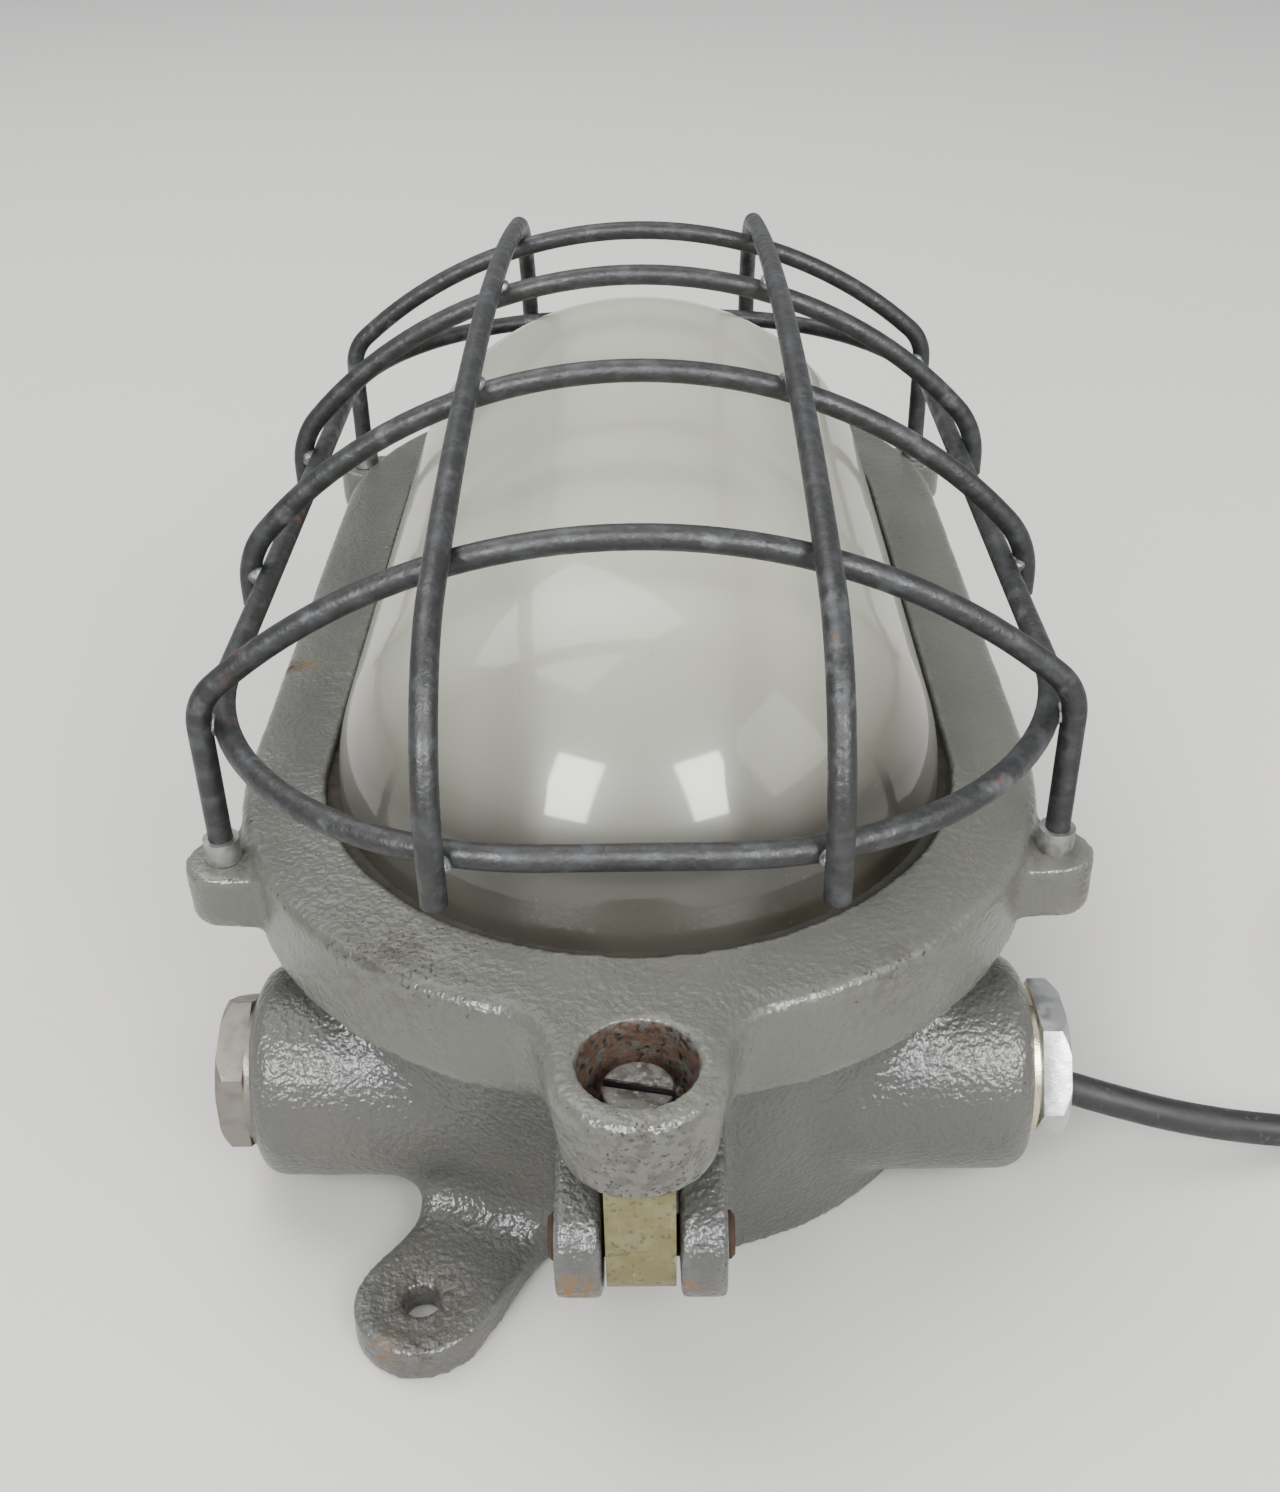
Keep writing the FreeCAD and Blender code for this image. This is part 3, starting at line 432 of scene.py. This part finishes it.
def neighbour_mean(edges, values, counts):
    """Mean over each vertex's neighbours of an (n, k) array."""
    total = np.empty_like(values)
    for k in range(values.shape[1]):
        column = values[:, k]
        total[:, k] = np.bincount(edges[:, 0], column[edges[:, 1]], len(values))
        total[:, k] += np.bincount(edges[:, 1], column[edges[:, 0]], len(values))
    return total / counts[:, None]


def normals_of(mesh):
    flat = np.empty(len(mesh.vertices) * 3, dtype=np.float32)
    mesh.vertex_normals.foreach_get("vector", flat)
    return flat.reshape(-1, 3).astype(np.float64)


def store(mesh, name, values):
    layer = mesh.attributes.new(name, "FLOAT", "POINT")
    layer.data.foreach_set("value", np.clip(values, 0, 1).astype(np.float32))


def near(points, centre, radius, soft):
    """1 within radius of a point or axis, falling to 0 over soft."""
    distance = np.linalg.norm(points - np.array(centre), axis=1)
    return np.clip((radius + soft - distance) / soft, 0, 1)


HASH = np.array([73856093, 19349663, 83492791])


def lattice_noise(points, size):
    """Smooth noise in -0.5..0.5 with the given cell size in millimetres."""
    grid = points / (size * MM) + 1000.0
    cell = np.floor(grid).astype(np.int64)
    part = grid - cell
    part = part * part * (3 - 2 * part)
    total = np.zeros(len(points))
    for corner in range(8):
        step = np.array([(corner >> k) & 1 for k in range(3)])
        weight = np.prod(np.where(step == 1, part, 1 - part), axis=1)
        keys = ((cell + step) * HASH).sum(axis=1)
        value = np.sin(keys % 65521 * 12.9898) * 43758.5453
        total += weight * (value - np.floor(value))
    return total - 0.5


VOXEL = 0.95 * MM
SOFTEN_PASSES, WIDE_PASSES, BEND_PASSES = 2, 6, 2
LUMPS = ((9.0, 0.30), (3.0, 0.16))      # size and height of the sand-cast lumps, in millimetres


def edge_pairs(mesh):
    flat = np.empty(len(mesh.edges) * 2, dtype=np.int32)
    mesh.edges.foreach_get("vertices", flat)
    return flat.reshape(-1, 2)


def cast_skin(node, body, material, marks, fillets=()):
    """Replace a CAD casting with a dense skin: soft edges, filled corners and a sand-cast face."""
    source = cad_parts[node]
    shell = add_object(node + "_shell", source.data.copy(), smooth=False)
    remesh = shell.modifiers.new("remesh", "REMESH")
    remesh.mode = "VOXEL"
    remesh.voxel_size = VOXEL
    mesh = evaluated(shell)
    bpy.data.objects.remove(shell)
    edges = edge_pairs(mesh)
    points = coordinates(mesh)
    counts = np.bincount(edges.ravel(), minlength=len(points)).astype(float)
    rough_points = points.copy()
    for k in range(SOFTEN_PASSES):
        points += 0.5 * (neighbour_mean(edges, points, counts) - points)
    for centre, radius, soft, count in fillets:
        weight = near(rough_points, centre, radius, soft)[:, None]
        for k in range(count):
            points += 0.5 * weight * (neighbour_mean(edges, points, counts) - points)
    set_coordinates(mesh, points)
    normals = normals_of(mesh)
    wide = points.copy()
    for k in range(WIDE_PASSES):
        wide = neighbour_mean(edges, wide, counts)
    bend = np.einsum("ij,ij->i", points - wide, normals)[:, None] / MM
    for k in range(BEND_PASSES):
        bend = 0.5 * bend + 0.5 * neighbour_mean(edges, bend, counts)
    lumps = sum(lattice_noise(points, size) * height for size, height in LUMPS)
    low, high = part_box(node)
    rough_face = points + normals * (lumps * MM)[:, None]
    set_coordinates(mesh, np.clip(rough_face, np.array(low), np.array(high)))
    store(mesh, "edge", (bend[:, 0] - 0.10) / 0.30)
    store(mesh, "hollow", (-bend[:, 0] - 0.08) / 0.30)
    for name, spots in marks.items():
        value = np.zeros(len(points))
        for centre, radius, soft in spots:
            value = np.maximum(value, near(points, centre, radius, soft))
        store(mesh, name, value)
    skin = add_object(node + "_skin", mesh, material)
    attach(skin, body)
    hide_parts(node)
    return skin


def softened(node, body, width, material):
    """The CAD piece with its sharp edges broken by a small round."""
    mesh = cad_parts[node].data.copy()
    work = bmesh.new()
    work.from_mesh(mesh)
    bmesh.ops.remove_doubles(work, verts=work.verts, dist=0.00001)
    bmesh.ops.dissolve_limit(work, angle_limit=math.radians(1.0), verts=work.verts, edges=work.edges)
    work.to_mesh(mesh)
    work.free()
    piece = add_object(node + "_piece", mesh, material)
    bevel = piece.modifiers.new("bevel", "BEVEL")
    bevel.width = width * MM
    bevel.segments = 2
    bevel.limit_method = "ANGLE"
    bevel.angle_limit = math.radians(32)
    bevel.harden_normals = True
    bevel.use_clamp_overlap = True
    mesh = evaluated(piece)
    bpy.data.objects.remove(piece)
    piece = add_object(node + "_piece", mesh, material, smooth=False)
    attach(piece, body)
    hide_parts(node)
    return piece


def lathe(name, profile, start, heading, material, around=64):
    """Solid of revolution: profile is (distance along, radius) in millimetres from start along heading."""
    heading = Vector(heading).normalized()
    side = heading.orthogonal().normalized()
    other = heading.cross(side)
    work = bmesh.new()
    rings = []
    for along, radius in profile:
        centre = start + heading * along * MM
        ring = []
        for k in range(around):
            angle = 2 * math.pi * k / around
            out = side * math.cos(angle) + other * math.sin(angle)
            ring.append(work.verts.new(centre + out * radius * MM))
        rings.append(ring)
    for a, b in zip(rings, rings[1:]):
        for k in range(around):
            work.faces.new((a[k], a[(k + 1) % around], b[(k + 1) % around], b[k]))
    work.faces.new(rings[0][::-1])
    work.faces.new(rings[-1])
    bmesh.ops.recalc_face_normals(work, faces=work.faces)
    mesh = bpy.data.meshes.new(name)
    work.to_mesh(mesh)
    work.free()
    piece = add_object(name, mesh, material)
    mesh.set_sharp_from_angle(angle=math.radians(40))
    return piece


# ---- glass --------------------------------------------------------------------------------------
HALF = 72.0               # half the straight length of the oblong
RING_TOP = 78.0
GLASS_FOOT = 62.05
GLASS_OUT_R, GLASS_OUT_RISE = 64.98, 54.0
GLASS_IN_R, GLASS_IN_RISE = 61.0, 50.0


def oblong_ring(r, z, around=48):
    """Points round an oblong outline of end radius r at height z, in millimetres."""
    points = []
    for side, first in ((1, 0.0), (-1, math.pi)):
        for k in range(around + 1):
            angle = first + math.pi * k / around
            points.append((r * math.cos(angle), side * HALF + r * math.sin(angle), z))
    return points


def dome_profile(r, rise, foot, count=26):
    """(radius, height) from the foot up to the crest line."""
    profile = [(r, foot), (r, (foot + RING_TOP) / 2)]
    for k in range(count):
        angle = math.pi / 2 * k / count
        profile.append((r * math.cos(angle), RING_TOP + rise * math.sin(angle)))
    return profile + [(0.02, RING_TOP + rise)]


def add_glass(material):
    """The dome as one closed shell. Its attribute low is greatest near the foot, at the ends most."""
    outer = dome_profile(GLASS_OUT_R, GLASS_OUT_RISE, GLASS_FOOT)
    inner = dome_profile(GLASS_IN_R, GLASS_IN_RISE, GLASS_FOOT)
    work = bmesh.new()
    rings = [[work.verts.new(Vector(p) * MM) for p in oblong_ring(r, z)] for r, z in outer[::-1] + inner]
    for a, b in zip(rings, rings[1:]):
        for k in range(len(a)):
            n = (k + 1) % len(a)
            work.faces.new((a[k], a[n], b[n], b[k]))
    for ring in (rings[0], rings[-1]):
        count = len(ring) // 2
        for k in range(count - 1):
            work.faces.new((ring[k], ring[k + 1], ring[-k - 2], ring[-k - 1]))
    bmesh.ops.remove_doubles(work, verts=work.verts, dist=0.000001)
    bmesh.ops.recalc_face_normals(work, faces=work.faces)
    mesh = bpy.data.meshes.new("glass")
    work.to_mesh(mesh)
    work.free()
    points = coordinates(mesh) / MM
    # low marks the painted reflection of the dark table: near the foot all round, at the ends most.
    end = np.clip((np.abs(points[:, 1]) - 60) / 45, 0, 1)
    low = np.clip((RING_TOP + 50 - points[:, 2]) / 34, 0, 1)
    side = np.clip((RING_TOP + 44 - points[:, 2]) / 34, 0, 1) * 0.8
    store(mesh, "low", np.maximum(end ** 0.5 * low, side))
    piece = add_object("glass", mesh, material)
    mesh.set_sharp_from_angle(angle=math.radians(60))
    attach(piece, "cover")
    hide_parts("glass_dome")


# ---- welds --------------------------------------------------------------------------------------
GRID = 0.4 * MM           # points closer than this count as one
EDGE_STEPS = 160
WELD_R, WELD_LUMP, WELD_FLAT = 2.5, 0.28, 0.86


def closest(a, b, low, high):
    """Middle of the narrowest gap between two CAD nodes inside a window of x and y, in metres."""
    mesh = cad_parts[a].data
    points = coordinates(mesh)
    ends = points[edge_pairs(mesh)]
    steps = np.linspace(0, 1, EDGE_STEPS)[None, :, None]
    line = (ends[:, :1] * (1 - steps) + ends[:, 1:] * steps).reshape(-1, 3)
    inside = np.all((line[:, :2] > low) & (line[:, :2] < high), axis=1)
    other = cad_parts[b].data
    tree = BVHTree.FromPolygons([v.co for v in other.vertices], [f.vertices for f in other.polygons])
    found = []
    for point in np.unique(np.round(line[inside] / GRID), axis=0) * GRID:
        place, _, _, gap = tree.find_nearest(Vector(point))
        found.append((gap, tuple((place + Vector(point)) / 2)))
    return Vector(min(found)[1])


def weld_places():
    """Crossings of the hoops, the two long bars and the belt."""
    reach = 0.016
    far = 0.2
    hoops = {}
    for n in ("front", "second", "third", "rear"):
        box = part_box(f"cage_{n}_hoop")
        hoops[f"cage_{n}_hoop"] = (box[0][1] + box[1][1]) / 2
    places = []
    for bar in ("cage_left_bar", "cage_right_bar"):
        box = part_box(bar)
        x = (box[0][0] + box[1][0]) / 2
        low, high = x - reach, x + reach
        places += [closest(bar, hoop, (low, y - reach), (high, y + reach)) for hoop, y in hoops.items()]
        places += [closest(bar, "cage_belt", (low, y), (high, y + far)) for y in (0, -far)]
    for hoop, y in hoops.items():
        for low, high in ((-far, 0), (0, far)):
            places.append(closest(hoop, "cage_belt", (low, y - reach), (high, y + reach)))
    return places


def add_welds(material):
    """Lumpy spot welds where the cage wires cross."""
    work = bmesh.new()
    for k, place in enumerate(weld_places()):
        made = bmesh.ops.create_icosphere(work, subdivisions=3, radius=WELD_R * MM)
        for vert in made["verts"]:
            lump = 1.0 + WELD_LUMP * noise.noise(vert.co * 420 + Vector((k * 3.7, k, 0)))
            vert.co = vert.co * lump
            vert.co.z *= WELD_FLAT
            vert.co += place
    mesh = bpy.data.meshes.new("cage_welds")
    work.to_mesh(mesh)
    work.free()
    piece = add_object("cage_welds", mesh, material)
    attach(piece, "cover")


# ---- plug ---------------------------------------------------------------------------------------
def ribbed(start, end, r0, r1, ribs, depth):
    """Profile of a tapering sleeve with rounded ribs."""
    profile = []
    steps = ribs * 6
    for k in range(steps + 1):
        part = k / steps
        r = r0 + (r1 - r0) * part
        groove = depth * (0.5 + 0.5 * math.cos(2 * math.pi * ribs * part))
        profile.append((start + (end - start) * part, r - groove))
    return profile


def add_plug(tail, heading, boot_material, body_material):
    """Ribbed boot and round shell. The pins stay the CAD's own."""
    start = tail * MM
    boot = lathe("plug_boot", ribbed(0, 21.8, 4.5, 7.4, 6, 0.7), start, heading, boot_material)
    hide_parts("mains_plug_relief")
    grip = [(22, 9.5), (22.4, 10.6), (24, 11.2)] + ribbed(25, 36, 11.8, 18.0, 4, 0.8)
    face = [(37, 18.3), (40, PLUG_R), (54, PLUG_R), (55.5, 18.0), (56, 17.2), (56.1, 15.2)]
    face += [(57.9, 14.6), (58, 12)]
    shell = lathe("plug_shell", grip + face, start, heading, body_material, 96)
    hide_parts("mains_plug_body")
    for piece in (boot, shell):
        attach(piece, "base")
    return [boot, shell]


# ---- stage --------------------------------------------------------------------------------------
def add_floor():
    mesh = bpy.data.meshes.new("floor")
    half = 6.0
    corners = [(-half, -half, 0), (half, -half, 0), (half, half, 0), (-half, half, 0)]
    mesh.from_pydata(corners, [], [(0, 1, 2, 3)])
    look = Look("floor", (0.80, 0.785, 0.76), 0.85)
    look.paint(look.step(look.noise(400, 2), 0.4, 0.6, 0.0, 0.2), (0.76, 0.745, 0.72))
    look.bump(look.noise(2, 2), 0.05)
    floor = add_object("floor", mesh, look.done(), smooth=False)
    floor.location.z = -0.0002


def add_light(name, at, aim, size, power, color=(1, 1, 1), only_glints=False):
    """Area light. With only_glints it shows in reflections and puts no light on matt surfaces."""
    data = bpy.data.lights.new(name, "AREA")
    data.shape = "RECTANGLE"
    data.size, data.size_y = size
    data.energy = power
    data.color = color
    lamp = bpy.data.objects.new(name, data)
    lamp.location = at
    lamp.rotation_euler = (Vector(aim) - Vector(at)).to_track_quat("-Z", "Y").to_euler()
    lamp.visible_diffuse = not only_glints
    bpy.context.collection.objects.link(lamp)


def add_lights():
    world = bpy.data.worlds.new("studio")
    world.use_nodes = True
    world.node_tree.nodes["Background"].inputs["Color"].default_value = (0.93, 0.96, 1.0, 1)
    world.node_tree.nodes["Background"].inputs["Strength"].default_value = 0.54
    bpy.context.scene.world = world
    aim = (0, -0.12, 0.1)
    for side, x in (("left", -0.37), ("right", 0.40)):
        add_light("window_" + side, (x, -0.79, 0.655), aim, (0.30, 0.46), 4.6)
        add_light("glint_" + side, (x, -0.785, 0.652), aim, (0.28, 0.44), 12.0, only_glints=True)
    add_light("ceiling", (-0.5, 0.5, 1.7), (0, 0, 0), (1.4, 1.4), 30, (1.0, 0.98, 0.95))
    add_light("fill", (1.3, -0.6, 1.1), (0, 0, 0.05), (0.9, 0.9), 9, (1.0, 0.97, 0.93))


# ---- build --------------------------------------------------------------------------------------
PIN_Z, SCREW_Y = 34.5 * MM, -168.0 * MM


def give(names, material):
    """Put a material on CAD nodes whose shape stays."""
    for name in names.split():
        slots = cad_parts[name].data.materials
        slots.clear()
        slots.append(material)


lead, tail, heading = add_cord()

counterbore = [((0, SCREW_Y, z * MM), 10.7 * MM, 0.3 * MM) for z in (66, 68, 70, 72, 74, 76)]
# each mark is a centre, the radius that is fully marked, and the width over which it fades, in metres
cover_marks = {
    "rust": counterbore + [((-0.084, -0.03, 0.077), 0.001, 0.003)],
    "worn": [
        ((0.002, -0.183, 0.066), 0.009, 0.008),
        ((-0.048, -0.140, 0.078), 0.002, 0.020),
        ((0.05, -0.148, 0.075), 0.002, 0.014),
    ],
    "tan": [((-0.08, -0.03, 0.078), 0.001, 0.003)],
}
pin_ends = [((side * 16.0 * MM, SCREW_Y, PIN_Z), 0.005, 0.003) for side in (-1, 1)]
base_marks = {
    "rust": pin_ends + [((-0.072, -0.094, 0.05), 0.003, 0.007)],
    "worn": [((-0.044, -0.16, 0.008), 0.004, 0.009), ((-0.044, -0.171, 0.006), 0.001, 0.006)],
    "tan": [
        ((-12.0 * MM, -0.1785, 0.0325), 0.0020, 0.0035),
        ((9.0 * MM, -0.1785, 0.033), 0.0010, 0.0025),
        ((-0.050, -0.171, 0.006), 0.0010, 0.0030),
    ],
}
cover_paint = casting_paint("cover_paint", (0.122, 0.125, 0.109), 0.0)
# The housing's enamel is darker than the cover's: painted shade on the body under the cover.
shaded_housing_paint = casting_paint("housing_paint", (0.094, 0.096, 0.091), 1.0)
# each fillet is a centre, a radius, the width over which it fades, and its number of smoothing passes
entry_y, entry_z = -0.116, 0.028
cover_fillets = [((side * 0.02, -0.157, 0.07), 0.008, 0.008, 20) for side in (-1, 1)]
base_fillets = [((side * 0.058, entry_y - 0.018, entry_z), 0.014, 0.014, 40) for side in (-1, 1)]
base_fillets += [((-0.033, -0.137, 0.008), 0.012, 0.012, 30), ((0.033, 0.137, 0.008), 0.012, 0.012, 30)]
cast_skin("cover_ring", "cover", cover_paint, cover_marks, cover_fillets)
cast_skin("base_housing", "base", shaded_housing_paint, base_marks, base_fillets)

add_glass(glass_look())
wire = wire_steel()
give("cage_front_hoop cage_second_hoop cage_third_hoop cage_rear_hoop", wire)
give("cage_left_bar cage_right_bar cage_belt", wire)
give("cage_leg_collars", bare_metal("collar_steel", (0.30, 0.30, 0.29), 0.4))
add_welds(weld_look())

grey_zinc = bare_metal("grey_zinc", (0.56, 0.575, 0.565), 0.28, 0.8, amount=0.3)
dull_zinc = bare_metal("dull_zinc", (0.20, 0.185, 0.165), 0.42, 0.7)
softened("blank_plug", "base", 0.5, dull_zinc)
softened("gland_nut", "base", 0.5, grey_zinc)
give("blank_plug_washer", dull_zinc)
give("bulb_cap", grey_zinc)
give("gland_washer", bare_metal("washer_brass", (0.62, 0.56, 0.40), 0.22, 0.9, amount=0.25))
softened("swing_nut", "nut", 0.4, nut_zinc())
iron = screw_iron()
softened("closing_screw", "screw", 0.3, iron)
give("closing_washer", iron)
rusty = bare_metal("rusty_steel", (0.050, 0.023, 0.011), 0.8, 0.1, dirt=(0.06, 0.022, 0.012),
                   amount=0.9, depth=0.12)
give("hinge_pin swing_nut_pin", rusty)
bright = bare_metal("bright_steel", (0.46, 0.455, 0.44), 0.3)
give("tray_screws earth_screw terminal_screws lampholder_bracket", bright)
brass = bare_metal("brass", (0.62, 0.45, 0.19), 0.28, 0.95, dirt=(0.23, 0.14, 0.06), amount=0.4)
give("lampholder_shell lampholder_contact bulb_contact terminal_clamps earth_washer mains_plug_pins", brass)
porcelain = plain_look("porcelain", (0.80, 0.78, 0.70), 0.18, coat=0.6, tint=(0.72, 0.68, 0.57))
softened("lampholder_body", "base", 1.2, porcelain)
softened("terminal_block", "base", 0.6, porcelain)
give("tray", plain_look("tray_enamel", (0.78, 0.78, 0.73), 0.3, tint=(0.66, 0.63, 0.52)))
# Cement painted near black: painted shade of the gap between the glass and the ring.
cement = plain_look("cement", (0.022, 0.019, 0.013), 0.9, tint=(0.050, 0.042, 0.028), size=5, depth=0.25)
give("glass_cement", cement)
lamp_glass = plain_look("lamp_glass", (0.86, 0.86, 0.83), 0.3, coat=0.5)
lamp_glass.node_tree.nodes["Principled BSDF"].inputs["Transmission Weight"].default_value = 0.15
give("bulb_glass", lamp_glass)
black = rubber("black_rubber", (0.016, 0.016, 0.017), 0.42)
give("gland_seal mains_cord_inner", black)
give("cover_gasket", rubber("gasket_rubber", (0.020, 0.019, 0.018), 0.7))
give("live_core", plain_look("brown_sleeve", (0.17, 0.07, 0.03), 0.4))
give("neutral_core", plain_look("blue_sleeve", (0.03, 0.09, 0.28), 0.4))

lead.data.materials.append(black)
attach(lead, "base")
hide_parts("mains_cord", "mains_cord_coil")
plug = add_plug(tail, heading, black, rubber("plug_plastic", (0.018, 0.018, 0.019), 0.35, 1.2, 0.04))

add_floor()
add_lights()
